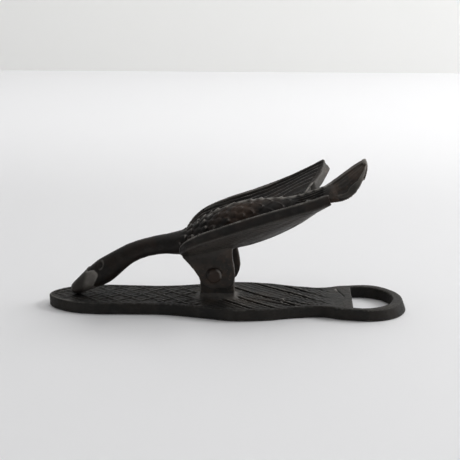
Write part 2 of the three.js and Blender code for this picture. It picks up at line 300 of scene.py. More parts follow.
# %% Ears with their bores
SLOT_HALF = 4.25
EAR_OUTER = 8.55
LOBE_RADIUS = 7.5
BORE_RADIUS = 2.8
EAR_BACKS = {
    -1: [(8.3, -6.4), (9.6, -4.0), (10.2, -0.6), (9.8, 3.0), (9.2, 7.0), (8.8, 11.0), (8.7, 14.0)],
    1: [(8.5, -6.6), (10.6, -4.6), (11.9, -1.5), (12.3, 1.0), (12.1, 3.0), (11.6, 6.0), (11.1, 8.5),
        (10.0, 12.0), (8.7, 14.0)],
}


def ear_outline(side):
    lobe = [(LOBE_RADIUS * math.cos(a), LOBE_RADIUS * math.sin(a)) for a in np.radians(range(190, 286, 12))]
    breast = [(0, 17), (-15.5, 12.5), (-15.1, 8.6), (-12.4, 5.6), (-9.6, 2.2)]
    return np.array(lobe + EAR_BACKS[side] + breast)


def bar_on_the_pivot(radius, length):
    bpy.ops.mesh.primitive_cylinder_add(
        vertices=48, radius=radius * MM, depth=length * MM, location=PIVOT * MM, rotation=(math.pi / 2, 0, 0))
    return bpy.context.object


def soften_corners(piece, width, segments, sharper_than):
    apply_modifier(piece, "BEVEL", width=width * MM, segments=segments, limit_method="ANGLE",
                   angle_limit=math.radians(sharper_than))


def ear(side):
    outline = ear_outline(side)
    faces_at = [side * SLOT_HALF, side * EAR_OUTER]
    rings = [PIVOT + np.insert(outline, 1, y, axis=1) for y in faces_at]
    piece = draw_out("goose_ear", rings, smooth_levels=0)
    soften_corners(piece, 0.7, segments=3, sharper_than=50)
    drill = bar_on_the_pivot(BORE_RADIUS, 30)
    apply_modifier(piece, "BOOLEAN", operation="DIFFERENCE", object=drill, solver="EXACT")
    bpy.data.objects.remove(drill)
    return piece


goose_ears = [ear(side) for side in (1, -1)]
print("each ear is", EAR_OUTER - SLOT_HALF, "mm thick")

# %% [markdown]
# The mould made all of this as one casting. A voxel remesh does the same: it melts overlapping closed shapes
# into one skin. Joining them with booleans would keep hard creases, which a casting doesn't have. Hollow
# corners are then filled a little everywhere, and once more where the ears run out under the wings.

# %% Fuse the goose into one casting
def fuse(name, parts, grain):
    only(parts[0])
    for part in parts:
        part.select_set(True)
    if len(parts) > 1:
        bpy.ops.object.join()
    piece = bpy.context.object
    piece.name = name
    piece.data.name = name
    apply_modifier(piece, "REMESH", mode="VOXEL", voxel_size=grain * MM)
    return piece


def neighbour_mean(points, edges, counts):
    total = np.zeros_like(points)
    for axis in range(points.shape[1]):
        total[:, axis] = np.bincount(edges[:, 0], points[edges[:, 1], axis], len(points))
        total[:, axis] += np.bincount(edges[:, 1], points[edges[:, 0], axis], len(points))
    return total / counts[:, None]


def rub(piece, rounds):
    """Rounds the skin a little without shrinking it: each easing step is followed by one that gives back."""
    points, edges = points_of(piece), edges_of(piece)
    counts = np.bincount(edges.ravel(), minlength=len(points))
    for _ in range(rounds):
        points += 0.5 * (neighbour_mean(points, edges, counts) - points)
        points -= 0.52 * (neighbour_mean(points, edges, counts) - points)
    put_points(piece, points)


def fillet(piece, rounds, where=lambda points: 1.0):
    """Fills only the hollow corners, as foundry sand leaves them."""
    points, edges = points_of(piece), edges_of(piece)
    counts = np.bincount(edges.ravel(), minlength=len(points))
    for _ in range(rounds):
        put_points(piece, points)
        outward = normals_of(piece)
        step = neighbour_mean(points, edges, counts) - points
        hollow = np.clip((step * outward).sum(1), 0, None)
        points += outward * (hollow * where(points))[:, None] * 0.9
    put_points(piece, points)


CASTING_GRAIN, PLATE_GRAIN, RIVET_GRAIN = 0.34, 0.36, 0.16
goose = fuse("goose_casting", [goose_body, goose_tail, *goose_wings, *goose_ears], CASTING_GRAIN)
rub(goose, 3)
fillet(goose, 14)


def under_the_shoulders(points):
    x, y, z = (points - PIVOT).T
    return ((np.abs(y) > 5) & (np.abs(y) < 17) & (z > 6) & (z < 20) & (x > -15) & (x < 12)).astype(float)


fillet(goose, 24, under_the_shoulders)
print("goose casting:", len(goose.data.vertices), "points")

# %% [markdown]
# Where the post's round top swings between the ears, the belly must keep clear. A boolean would do, but the
# intrusion is under a millimetre, so the few points inside the swing circle are simply pushed out to it.

# %% Clear the belly for the post
SWING_CIRCLE = 10.15
points = points_of(goose) - PIVOT
reach = np.hypot(points[:, 0], points[:, 2])
inside = (np.abs(points[:, 1]) < SLOT_HALF) & (reach < SWING_CIRCLE) & (points[:, 2] > 4)
points[inside] *= (SWING_CIRCLE / reach[inside])[:, None] ** np.array([1, 0, 1])
put_points(goose, points + PIVOT)
print(int(inside.sum()), "points moved clear of the post")

# %% [markdown]
# ## The goose's plumage
# Relief is a height for every point of the skin, laid on along the normal, as a carver works a pattern. To
# carve the back, each point must know how far along the back it lies and how far round from its ridge, so
# the line of stations is sampled finely and the nearest sample is found for every point.

# %% Places along the back and round it
def smooth_step(low, high, value):
    share = np.clip((value - low) / (high - low), 0, 1)
    return share * share * (3 - 2 * share)


def bump(value, middle, width):
    return np.exp(-(((value - middle) / width) ** 2))


def nearest_index(places, points):
    tree = KDTree(len(places))
    for index, place in enumerate(places):
        tree.insert(place, index)
    tree.balance()
    return np.array([tree.find(point)[1] for point in points])


STATIONS = np.array(NECK_AND_BACK)
line_x = np.arange(STATIONS[0, 0], STATIONS[-1, 0], 0.2)
line = np.stack([line_x, np.zeros(len(line_x)), np.interp(line_x, STATIONS[:, 0], STATIONS[:, 1])], 1)
line_up = across_the_line(line)
line_length = np.concatenate([[0], np.cumsum(np.linalg.norm(np.diff(line, axis=0), axis=1))])

skin = points_of(goose) - PIVOT
facing = normals_of(goose)
relief = np.zeros(len(skin))
found = nearest_index(line, skin * (1, 0, 1))
high = np.interp(line_x, STATIONS[:, 0], STATIONS[:, 2])[found]
wide = np.interp(line_x, STATIONS[:, 0], STATIONS[:, 3])[found]
above = ((skin - line[found]) * line_up[found]).sum(1)
round_angle = np.arctan2(skin[:, 1] / wide, above / high)
along_back = line_length[found] - line_length[np.argmin(np.abs(line_x))]
round_back = round_angle * (high + wide) / 2
print("the back runs from", along_back.min().round(1), "to", along_back.max().round(1), "mm about the pivot")

# %% [markdown]
# One rule lays every kind of feather. Rows follow each other, each shifted by half a feather, and the row
# nearer the head lies on top. A feather rises from its base to its tip and falls away to its sides, so each
# tip ends in a step with a dark gap behind it. A random share makes some feathers lie higher than others.

# %% The feather rule
def lay_feathers(along, across, pitch, width, length, pointed=0.0, uneven=0.35, seed=3):
    chance = np.random.default_rng(seed).random((64, 64))
    height, covered = np.zeros(len(along)), np.zeros(len(along), bool)
    newest = np.floor(along / pitch)
    for back in range(int(length / pitch), -1, -1):
        row = newest - back
        column = np.round(across / width - 0.5 * (row % 2))
        from_base = (along - row * pitch) / length
        from_middle = across / width - 0.5 * (row % 2) - column
        taper = np.clip((from_base - 0.4) / 0.6, 0, 1)
        half = 0.54 * ((1 - pointed) * np.sqrt(1 - taper**2) + pointed * (1 - taper**1.4))
        here = (from_base < 1) & (np.abs(from_middle) < half) & ~covered
        lie = 1 - uneven * chance[row.astype(int) % 64, column.astype(int) % 64]
        dome = 1 - 0.8 * (from_middle / 0.5) ** 2
        height[here] = (from_base**1.3 * dome * lie)[here]
        covered |= here
    return height


def ease(values, edges, rounds=1):
    counts = np.bincount(edges.ravel(), minlength=len(values))
    for _ in range(rounds):
        values = neighbour_mean(values[:, None], edges, counts)[:, 0]
    return values


# %% [markdown]
# The breast and shoulders carry bold knobby scales, the middle of the back worn ones, and the hind back
# broad pointed feathers of which mostly the rims can still be seen. The rump has fine lengthwise ribs.

# %% Feathers on breast, back and rump
RIB_PITCH = 1.25
ROOT_WIDTH = np.interp(skin[:, 0], ROOT[:, 0], ROOT[:, 1])
on_back = smooth_step(1.85, 1.55, np.abs(round_angle)) * (np.abs(skin[:, 1]) < ROOT_WIDTH + 3.5)
on_back *= smooth_step(-0.35, 0.0, facing[:, 2])

scales = lay_feathers(along_back, round_back, pitch=3.8, width=4.2, length=6.4, uneven=0.7)
strength = smooth_step(-18.5, -13, skin[:, 0]) * (1.25 - 0.75 * smooth_step(-4, 6, skin[:, 0]))
strength *= 1 - smooth_step(17, 22, skin[:, 0])
relief += on_back * strength * (1.9 * scales - 0.95)

broad = lay_feathers(
    along_back + 1.5, round_back, pitch=4.9, width=6.6, length=8.6, pointed=0.7, uneven=0.1)
edges = edges_of(goose)
rims = np.clip((broad - ease(broad, edges, 2)) * 4.5, 0, 1)
strength = smooth_step(14, 20, skin[:, 0]) * (1 - smooth_step(39, 45, skin[:, 0]))
relief += on_back * strength * (0.45 * broad + 0.75 * ease(rims, edges, 1) - 0.35)

ribs = np.cos(round_back / RIB_PITCH * 2 * math.pi)
strength = smooth_step(37, 42, skin[:, 0]) * (1 - smooth_step(51, 54, skin[:, 0]))
relief += on_back * strength * (0.42 * ribs - 0.2)
spine = bump(skin[:, 1], -0.3, 1.0) * (np.abs(round_angle) < 1) * smooth_step(-10, -4, skin[:, 0])
relief += 0.45 * spine * (1 - smooth_step(46, 50, skin[:, 0]))
print("scales, feathers and ribs laid on the back")

# %% [markdown]
# The flight feathers lie along the wing like long shingles: each rises slowly across the wing and ends in a
# sharp fall. They are narrow beside the rim and wide by the root, so they are placed by their distance from
# the rim. Small scales cover the wing's root in front.

# %% Flight feathers on the wings
def across_the_wing(points, samples=200):
    """How far along the wing each point lies in plan (0 front, 1 rear), and how far inside its rim."""
    along = np.linspace(0, 1, samples)
    places = np.linspace(0, 1, len(RIM_TOP))
    rim = np.stack([np.interp(along, places, RIM_TOP[:, k]) for k in (0, 1)], 1)
    root = np.stack([np.interp(along, places, ROOT[:, k]) for k in (0, 1)], 1)
    plan = np.stack([points[:, 0], np.abs(points[:, 1])], 1)
    best = np.full(len(points), np.inf)
    inside, place = np.zeros(len(points)), np.zeros(len(points))
    for share, a, b in zip(along, root, rim):
        ray = b - a
        t = np.clip(((plan - a) @ ray) / (ray @ ray), 0, 1)
        miss = np.linalg.norm(plan - a - t[:, None] * ray, axis=1)
        closer = miss < best
        best[closer], place[closer] = miss[closer], share
        inside[closer] = ((1 - t) * np.linalg.norm(ray))[closer]
    return inside, place


wing_top = np.flatnonzero(
    (facing[:, 2] > 0.3) & (skin[:, 0] > -17) & (np.abs(skin[:, 1]) > ROOT_WIDTH - 0.5) & (skin[:, 2] > 11))
inside, place = across_the_wing(skin[wing_top])
FEATHER_LINES = [1.1, 2.7, 5.2, 8.8, 13.0, 17.6, 22.4]
WING_LENGTH = 78
spread = 0.35 + 0.65 * smooth_step(0.1, 0.75, place)
shingles = np.zeros(len(wing_top))
for near, far in zip(FEATHER_LINES, FEATHER_LINES[1:]):
    share = (inside / spread - near) / (far - near)
    rise = smooth_step(0, 0.14, share) * (1 - 0.9 * smooth_step(0.14, 1.0, share))
    shingles += np.where((share > 0) & (share < 1), rise, 0)
wing_root = np.abs(skin[wing_top, 1]) - ROOT_WIDTH[wing_top]
strength = smooth_step(0.12, 0.3, place) * smooth_step(0.3, 2.0, wing_root)
strength *= smooth_step(0.995, 0.975, place)
relief[wing_top] += strength * np.where(inside > FEATHER_LINES[0] * spread, 1.05 * shingles - 0.7, 0)

coverts = lay_feathers(
    place * WING_LENGTH, np.abs(skin[wing_top, 1]), pitch=3.6, width=3.9, length=5.8, uneven=0.4, seed=5)
strength = (1 - smooth_step(0.42, 0.55, place)) * smooth_step(3.5, 5.5, inside)
strength *= smooth_step(0, 1.5, wing_root)
relief[wing_top] += strength * (1.0 * coverts - 0.2)
print(len(wing_top), "points on the wings")

# %% [markdown]
# The long feathers end in two groups, so the trailing edge steps back where they part. The rim's outer band
# is framed by a narrow lip above and below. The underside was filed roughly along its length.

# %% Trailing edge, rim band and file marks
GROUPS_PART = 15.6
off_middle = np.abs(skin[:, 1])
trailing = smooth_step(0.35, 0.6, facing[:, 0]) * (skin[:, 0] > 38) * (skin[:, 2] > 24) * (skin[:, 2] < 48)
relief -= 1.4 * trailing * smooth_step(GROUPS_PART, GROUPS_PART - 0.6, off_middle) * (off_middle > 7)
relief -= 0.9 * trailing * bump(off_middle, GROUPS_PART, 0.7)

below_rim = np.interp(skin[:, 0], RIM_TOP[:, 0], RIM_TOP[:, 2]) - skin[:, 2]
band_high = np.interp(skin[:, 0], RIM_TOP[:, 0], BAND_HEIGHT)
outward = np.hypot(facing[:, 0], facing[:, 1])
on_band = (outward > 0.6) & (off_middle > ROOT_WIDTH + 3) & (skin[:, 0] > -16) & (skin[:, 0] < 55)
band_field = smooth_step(0.7, 1.2, below_rim) * smooth_step(band_high - 0.2, band_high - 0.8, below_rim)
band_lip = bump(below_rim, 0.3, 0.5) + 0.12 * bump(below_rim, band_high - 0.1, 0.45)
relief += np.where(on_band, 0.16 * band_lip - 0.3 * band_field, 0)

underside = (facing[:, 2] < 0.1) & (skin[:, 2] > 6) & (off_middle > 2)
underside &= (skin[:, 0] > -12) & (skin[:, 0] < 52) & (below_rim > band_high)
scores = np.sin(skin[:, 2] * 3.1 - skin[:, 0] + 1.3 * np.sin(skin[:, 0] / 4)) * np.sin(skin[:, 2] * 1.3)
relief += np.where(underside, 0.09 * scores, 0)
print("rim bands:", int(on_band.sum()), "points, underside:", int(underside.sum()))

# %% [markdown]
# The tail is a shallow tray: a plain raised border, a quill down the middle with a fine line beside it, and
# faint ribs that spread like a fan. At the end the border's inner edge follows the feather tips.

# %% Tail ribs and border
TAIL_FRONT = 52
on_tail = np.flatnonzero((skin[:, 0] > TAIL_FRONT) & (np.abs(skin[:, 1]) < 14) & (skin[:, 2] > 30))
ridge_line = TAIL[:, :2]
tail_direction = (ridge_line[-1] - ridge_line[2]) / np.linalg.norm(ridge_line[-1] - ridge_line[2])
tail_up = np.array([-tail_direction[1], tail_direction[0]])
reach_along = (skin[on_tail][:, [0, 2]] - ridge_line[2]) @ tail_direction
tail_stations = (ridge_line - ridge_line[2]) @ tail_direction
half_width = np.maximum(np.interp(reach_along, tail_stations, TAIL[:, 2]), 1)
from_quill = np.abs(skin[on_tail, 1])
share = from_quill / half_width
on_top = facing[on_tail][:, [0, 2]] @ tail_up > 0.2
tail_end = tail_stations[-1]
from_edge = np.minimum(half_width - from_quill, (tail_end - reach_along) * 0.9)
scallops = 0.9 * np.abs(np.cos(share * 3.3 + reach_along * 0.12)) * smooth_step(4, 9, reach_along)
border = smooth_step(1.6, 1.1, from_edge - scallops * (share < 0.95))
quill = bump(from_quill, 0, 0.75) + 0.6 * bump(from_quill, 2.1, 0.5)
fan_ribs = np.cos(share * 6 * 2 * math.pi) * smooth_step(1, 4, reach_along)
raised = np.maximum(border, quill * (reach_along < tail_end - 1.5))
strength = smooth_step(-0.5, 2.5, reach_along)
relief[on_tail] += np.where(on_top, (1.05 * raised + 0.09 * fan_ribs * (1 - raised) - 0.8) * strength, 0)
print(len(on_tail), "points on the tail")

# %% [markdown]
# The bill is a hard sheath: it stands a little proud of the head and ends in three lobes where the feathers
# start. The eye is a leaning oval pit with a bead in it and a raised lid behind. All of it is pressed in by
# distance alone.

# %% Bill and eyes
HEAD_BACK, SHEATH_BACK = -46, -58.0
head = np.flatnonzero(skin[:, 0] < HEAD_BACK)
head_x, _, head_z = skin[head].T
from_crown = np.abs(round_angle[head])
sheath_edge = SHEATH_BACK - 4.6 * smooth_step(0.95, 0.4, from_crown) + 0.9 * np.cos(from_crown * 5.2 - 1.0)
sheath_edge -= 1.2 * smooth_step(1.7, 2.6, from_crown)
sheath = 1 - smooth_step(-0.3, 0.3, head_x - sheath_edge)
rim = bump(head_x, sheath_edge - 0.45, 0.45)
relief[head] += 0.34 * sheath + 0.16 * rim
mouth_z = -11.0 - 0.05 * (head_x + 66)
mouth = bump(head_z, mouth_z, 0.32) * (1 - smooth_step(-63.5, -61.5, head_x))
relief[head] -= 0.25 * mouth * (np.abs(facing[head, 1]) > 0.25)

EYE_X, EYE_Z, EYE_LEAN = -55.6, 2.9, math.radians(24)
EYE_STRETCH, EYE_RADIUS = 1.6, 0.78
eye_long = (head_x - EYE_X) * math.sin(EYE_LEAN) + (head_z - EYE_Z) * math.cos(EYE_LEAN)
eye_short = (head_x - EYE_X) * math.cos(EYE_LEAN) - (head_z - EYE_Z) * math.sin(EYE_LEAN)
eye_far = np.hypot(eye_long / EYE_STRETCH, eye_short) / EYE_RADIUS
on_side = np.abs(facing[head, 1]) > 0.3
lid = bump(eye_far, 1.55, 0.3) * smooth_step(-0.9, 0.6, eye_short + 0.2 * eye_long)
eye = 0.25 * bump(eye_far, 0, 0.3) - 0.6 * bump(eye_far, 0.55, 0.42) + 0.34 * lid
relief[head] += np.where(on_side, eye, 0)
neck_lumps = np.sin(skin[:, 0] * 0.9) * np.sin(round_angle * 2.0 + skin[:, 0] * 0.5)
on_neck = smooth_step(-47, -43, skin[:, 0]) * (1 - smooth_step(-24, -20, skin[:, 0]))
relief += 0.04 * neck_lumps * on_neck
print("bill sheath and eyes pressed in")

# %% [markdown]
# Where metal is rubbed or rusted, and where light and shade are painted on, follows from the shape, so it is
# noted now, while every point still knows its place: the bill is bare and greyer, with a painted highlight on
# the rear and top of its sheath; the spine and the rim lips are rubbed and carry painted glints; the wing
# ends and the tail's end face the right-hand light and are painted lighter, and so is the tail's top; the
# wings' undersides carry a painted reflection of the pale table; the low breast and the ears are painted
# lighter against their shade; the ears and the middle of the back have a brown bloom.

# %% Note bare, painted-light and brown places
def note(piece, name, values):
    layer = piece.data.attributes.new(name, "FLOAT", "POINT")
    layer.data.foreach_set("value", np.clip(values, 0, 1).astype(np.float32))


bare_and_lit = np.zeros(len(skin))
# Painted highlight: the sheath is greyer all over, and it is painted lighter towards its rear and top and
# along the rim at its edge.
bare_and_lit[head] = sheath * (0.16 + 0.62 * smooth_step(-63.4, -60.6, head_x - 0.25 * head_z))
bare_and_lit[head] += 0.9 * rim * smooth_step(0.3, 0.7, from_crown) * smooth_step(2.2, 1.5, from_crown)
bare_and_lit[head] += 0.4 * lid * on_side * (eye_far < 2.5)
# Painted glints in dashes along the spine, where the scales are also rubbed.
dashes = 0.55 + 0.45 * np.sin(along_back * 1.25 + 1.5 * np.sin(along_back / 4))
bare_and_lit += 1.9 * spine * dashes * smooth_step(-10, 2, skin[:, 0])
# Painted reflection of the pale table on the undersides, a painted highlight on the rubbed rim lips, and
# painted light on the wing ends that face the right-hand light.
bare_and_lit += 0.19 * underside * smooth_step(6, 13, skin[:, 2]) + 0.7 * band_lip * on_band + 0.3 * trailing
# Painted light on the low breast and the ears, which would otherwise stay in shade.
bare_and_lit += 0.1 * smooth_step(12, 5, skin[:, 2]) * (np.abs(skin[:, 0]) < 20)
# The tail's top is painted lighter, and its raised border most of all towards the end, which faces the light.
tail_sheen_and_wear = np.zeros(len(skin))
tail_sheen_and_wear[on_tail] = border * on_top * (0.15 + 0.5 * smooth_step(tail_end - 12, tail_end - 5, reach_along))
tail_sheen_and_wear[on_tail] += (0.12 + 0.25 * bump(from_quill, 0, 0.8)) * on_top
bare_and_lit += tail_sheen_and_wear
brown = smooth_step(7, 1, np.abs(skin[:, 2])) * (np.abs(skin[:, 0]) < 20)
brown = np.maximum(brown, 0.8 * bump(skin[:, 0], 12, 9) * (facing[:, 2] > -0.2) * (np.abs(skin[:, 1]) < 13))
brown = np.maximum(brown, 0.9 * (skin[:, 0] > 54))
note(goose, "bare_and_lit", bare_and_lit)
note(goose, "brown", brown)
print("bare share", round(float(bare_and_lit.mean()), 3), "brown share", round(float(brown.mean()), 3))

# %% [markdown]
# The relief goes on along the normals. A cast skin is never quite fair, so two displacements with a cloud
# texture follow: broad unevenness of the mould, and the fine pits of the sand.

# %% Lay the relief on and roughen the cast skin
def lay_on(piece, height):
    put_points(piece, points_of(piece) + normals_of(piece) * height[:, None])


def sand_skin(piece, broad=0.2, fine=0.08):
    for name, size, strength in (("mould unevenness", 5.0, broad), ("sand pits", 0.9, fine)):
        texture = bpy.data.textures.new(name, "CLOUDS")
        texture.noise_scale = size * MM
        texture.noise_depth = 1
        apply_modifier(piece, "DISPLACE", texture=texture, strength=strength * MM, mid_level=0.5,
                       texture_coords="GLOBAL")
        bpy.data.textures.remove(texture)


MOST_TRIANGLES = 190_000


def thin_out(piece):
    triangles = sum(len(face.vertices) - 2 for face in piece.data.polygons)
    if triangles > MOST_TRIANGLES:
        apply_modifier(piece, "DECIMATE", ratio=MOST_TRIANGLES / triangles)
    bpy.ops.object.shade_smooth()
    print(piece.name, triangles, "triangles, kept", len(piece.data.polygons))


lay_on(goose, ease(relief, edges))
sand_skin(goose)
thin_out(goose)

# %% [markdown]
# ## The plate
# The plate's outline is right in the frame, so its casting starts from a copy of that node, merged and
# remeshed. The post came out of the same mould: a fillet runs round its foot.

# %% Plate casting
def blank_of(node, name):
    source = frame["nodes"][node]
    piece = bpy.data.objects.new(name, source.data.copy())
    bpy.context.scene.collection.objects.link(piece)
    piece.data.materials.clear()
    only(piece)
    bpy.ops.object.mode_set(mode="EDIT")
    bpy.ops.mesh.select_all(action="SELECT")
    bpy.ops.mesh.remove_doubles(threshold=0.001 * MM)
    bpy.ops.object.mode_set(mode="OBJECT")
    return piece


plate = fuse("plate_casting", [blank_of("base_plate", "plate_blank")], PLATE_GRAIN)
rub(plate, 8)


def near_post_foot(points):
    return ((points[:, 2] > PLATE_TOP - 0.5) & (points[:, 2] < PLATE_TOP + 4.5)).astype(float)


fillet(plate, 60, near_post_foot)
print("plate casting:", len(plate.data.vertices), "points")

# %% [markdown]
# The ring's outer side was left with a strong draft round its end, so that its top is narrower than its
# underside. Points are drawn in towards the ring's centre, the more the higher they lie, and the foot of the
# slope spreads a little.

# %% Draft on the ring's end
RING_CENTRE, RING_DRAFT, RING_SPREAD = plate_high[0] - 19, 2.1, 0.8
skin = points_of(plate)
from_centre = skin[:, :2] - (RING_CENTRE, 0)
radius = np.hypot(*from_centre.T)
heading = np.abs(np.degrees(np.arctan2(from_centre[:, 1], from_centre[:, 0])))
draw_in = RING_DRAFT * np.clip(skin[:, 2] / PLATE_TOP, 0, 1) - RING_SPREAD
draw_in *= smooth_step(85, 35, heading) * smooth_step(15.6, 18.2, radius)
skin[:, :2] -= from_centre / np.maximum(radius, 1)[:, None] * draw_in[:, None]
put_points(plate, skin)
print("ring drawn in by up to", round(float(draw_in.max()), 2), "mm")

# %% [markdown]
# In front of the post the top carries a net of diamonds, behind it reeds that lie aslant: a few deep grooves
# and finer ones between them. A plain border follows the edge. The distance to the edge is measured to the
# plate's own side walls. Close behind the post the ground is rough, and there are a burr, a chip and a scar.

# %% Net, reeds and border on the plate
POST_FRONT, POST_BACK = PIVOT[0] - 7.1, PIVOT[0] + 9.6
POST_HALF_LENGTH, POST_HALF_WIDTH = 8.35, 3.9
NET_CELL = (10.5, 9.6)
facing = normals_of(plate)
is_wall = (np.abs(facing[:, 2]) < 0.35) & (skin[:, 2] > 3) & (skin[:, 2] < 5)
walls = np.unique((skin[is_wall][:, :2] / 0.5).round(), axis=0) * 0.5
walls = np.concatenate([walls, np.zeros((len(walls), 1))], 1)
top = np.flatnonzero((facing[:, 2] > 0.75) & (np.abs(skin[:, 2] - PLATE_TOP) < 1.2))
flat = skin[top] * (1, 1, 0)
edge = np.linalg.norm(flat - walls[nearest_index(walls, flat)], axis=1)
x, y = flat[:, 0], flat[:, 1]


def gap_to_post(x, y):
    """How far a place in plan lies outside the post's foot."""
    post_middle = (POST_FRONT + POST_BACK) / 2
    return np.maximum(np.abs(x - post_middle) - POST_HALF_LENGTH, np.abs(y) - POST_HALF_WIDTH)


def cord(turns):
    """A raised cord on every whole turn, with a shallow groove along each side."""
    cell = 1 / math.hypot(1 / NET_CELL[0], 1 / NET_CELL[1])
    far = np.abs(turns - np.round(turns)) * cell
    return 0.5 * bump(far, 0, 0.6) - 0.2 * bump(far, 1.5, 0.6)


waver = 0.05 * np.sin(x / 5.2) + 0.04 * np.sin(y / 3.1)
net = np.maximum(
    cord(x / NET_CELL[0] + y / NET_CELL[1] + waver), cord(x / NET_CELL[0] - y / NET_CELL[1] + waver))
net = net * (0.62 + 0.3 * smooth_step(-60, -20, x)) + 0.14 * np.sin(x * 1.1) * np.sin(y * 1.7) - 0.12

ASLANT, REED_PITCH = math.radians(40), 2.7
DEEP_GROOVES = [-5.6, 2.2, 11.8, 23.7, 30.3, 37.5]
NEAR_GROOVES = [2.6, 8.2]
ROUGH_AT, CHIP_AT, BURR_AT = (12, -4), (54.4, 9.2), (27.6, -6.4)
lie = y * math.cos(ASLANT) + x * math.sin(ASLANT) + 0.5 * np.sin(x / 9.0)
flatter = y * math.cos(ASLANT * 0.68) + x * math.sin(ASLANT * 0.68)
share = lie / REED_PITCH - np.floor(lie / REED_PITCH)
reeds = 0.17 * smooth_step(0.0, 0.2, share) * (1 - 0.8 * smooth_step(0.2, 1.0, share)) - 0.1
for groove in DEEP_GROOVES:
    reeds += 0.2 * bump(lie, groove - 1.2, 0.8) - 1.2 * bump(lie, groove, 0.6)
    reeds += 0.38 * bump(lie, groove + 1.2, 0.7)
for groove in NEAR_GROOVES:
    near_side = smooth_step(2, -1, y) * smooth_step(8, 14, x)
    reeds -= 0.8 * near_side * bump(flatter, groove, 0.45)
reeds *= 1 - 0.75 * smooth_step(36, 44, x)
dashes = 0.16 * np.sin(x * 1.7 + 1.3 * np.sin(y)) * np.sin(lie * 1.9)
reeds += dashes * smooth_step(18, 36, x)
rough_ground = bump(np.hypot((x - ROUGH_AT[0]) / 9, (y - ROUGH_AT[1]) / 8), 0, 1)
reeds += rough_ground * (0.42 * np.sin(x * 2.1 + y) * np.sin(y * 2.3 - x * 0.7))
reeds *= 1 - 0.5 * rough_ground

inside = smooth_step(1.6, 2.4, edge)
front = 1 - smooth_step(POST_FRONT - 1.5, POST_FRONT + 1.5, x)
behind = smooth_step(POST_BACK - 5.0, POST_BACK - 2.0, x) * (1 - smooth_step(46, 53, x))
beside = np.clip(1 - front - behind, 0, 1) * (x < POST_BACK)
clear_of_post = smooth_step(1.2, 2.6, gap_to_post(x, y))
plate_relief = (net * front + reeds * behind + reeds * 0.5 * beside) * inside * clear_of_post
plate_relief -= 0.15 * inside * (1 - smooth_step(48, 54, x))
scar_line = y - 10.0 + (x - 55.0) * 2.9
scar = bump(scar_line, 0, 1.1) * (x > 54.6) * (x < 58.4)
chip = bump(np.hypot(x - CHIP_AT[0], (y - CHIP_AT[1]) / 2.2), 0, 0.7)
burr = bump(np.hypot((x - BURR_AT[0]) / 0.9, (y - BURR_AT[1]) / 2.4), 0, 1)
plate_relief += 0.5 * chip - 0.55 * scar + 1.0 * burr
height = np.zeros(len(skin))
height[top] = plate_relief

by_the_post = np.maximum(gap_to_post(skin[:, 0], skin[:, 1]), 0)
brown = bump(by_the_post, 0, 4.0)
brown *= (skin[:, 2] < PLATE_TOP + 26) & (skin[:, 2] > PLATE_TOP - 1)
brown[top] = np.maximum(brown[top], np.maximum(1.0 * burr, 0.8 * rough_ground))
# Painted light: the plate's side walls and the post above the plate are painted lighter against their shade,
# the top is painted lighter from the waist to the ring's end where the right-hand light falls, and a painted
# highlight runs along the near left top edge. A paler band rings the post's foot; the burr, the chip and the
# rough ground are real marks.
bare_and_lit = 0.045 * (np.abs(facing[:, 2]) < 0.5) + 0.12 * (skin[:, 2] > PLATE_TOP + 0.5)
bare_and_lit += 0.42 * bump(by_the_post, 0, 2.8) * (skin[:, 2] < PLATE_TOP + 2.5) * (skin[:, 2] > 5)
bare_and_lit[top] += 0.9 * burr + 1.0 * chip + 0.14 * rough_ground + 0.09 * smooth_step(34, 52, x)
bare_and_lit[top] += 0.6 * bump(edge, 0.4, 0.5) * smooth_step(-72, -77, x) * (y < 2)
note(plate, "bare_and_lit", bare_and_lit)
note(plate, "brown", brown)
lay_on(plate, height)
sand_skin(plate, broad=0.16, fine=0.09)
thin_out(plate)

# %% [markdown]
# ## The rivet
# A plain bar with its ends hammered over. It starts as a cylinder, and both ends are widened, raised and
# inset in edit mode, so the head has a turned rim and a slightly dished face. Each step says how far the end
# rises and what its width is multiplied by.

# %% Rivet
SHANK_RADIUS, HEAD_RADIUS, HEAD_HEIGHT = 2.5, (rivet_high[0] - rivet_low[0]) / 2, 1.2
HEAD_STEPS = [
    (0.0, HEAD_RADIUS / SHANK_RADIUS), (0.55, 1.0), (0.5, 0.86), (0.15, 0.84), (-0.18, 0.86), (0.0, 0.5)]
half_bar = rivet_high[1] - HEAD_HEIGHT
bpy.ops.object.select_all(action="DESELECT")
rivet = settle(bar_on_the_pivot(SHANK_RADIUS, 2 * half_bar))
rivet.name = "rivet_hammered"
bpy.ops.object.mode_set(mode="EDIT")
for end in (-1, 1):
    middle = Vector(PIVOT * MM) + Vector((0, end * half_bar * MM, 0))
    bpy.ops.mesh.select_all(action="DESELECT")
    mesh = bmesh.from_edit_mesh(rivet.data)
    for face in mesh.faces:
        face.select_set(len(face.verts) > 4 and face.calc_center_median().y * end > 0)
    bmesh.update_edit_mesh(rivet.data)
    for rise, widen in HEAD_STEPS:
        bpy.ops.mesh.extrude_region_move(TRANSFORM_OT_translate={"value": (0, end * rise * MM, 0)})
        bpy.ops.transform.resize(value=(widen, 1, widen), center_override=middle)
bpy.ops.mesh.select_all(action="SELECT")
bpy.ops.mesh.remove_doubles(threshold=0.001 * MM)
bpy.ops.mesh.normals_make_consistent(inside=False)
bpy.ops.object.mode_set(mode="OBJECT")
soften_corners(rivet, 0.12, segments=2, sharper_than=30)
apply_modifier(rivet, "REMESH", mode="VOXEL", voxel_size=RIVET_GRAIN * MM)
rub(rivet, 2)
skin = points_of(rivet) - PIVOT
from_axis, heading = np.hypot(skin[:, 0], skin[:, 2]), np.arctan2(skin[:, 2], skin[:, 0])
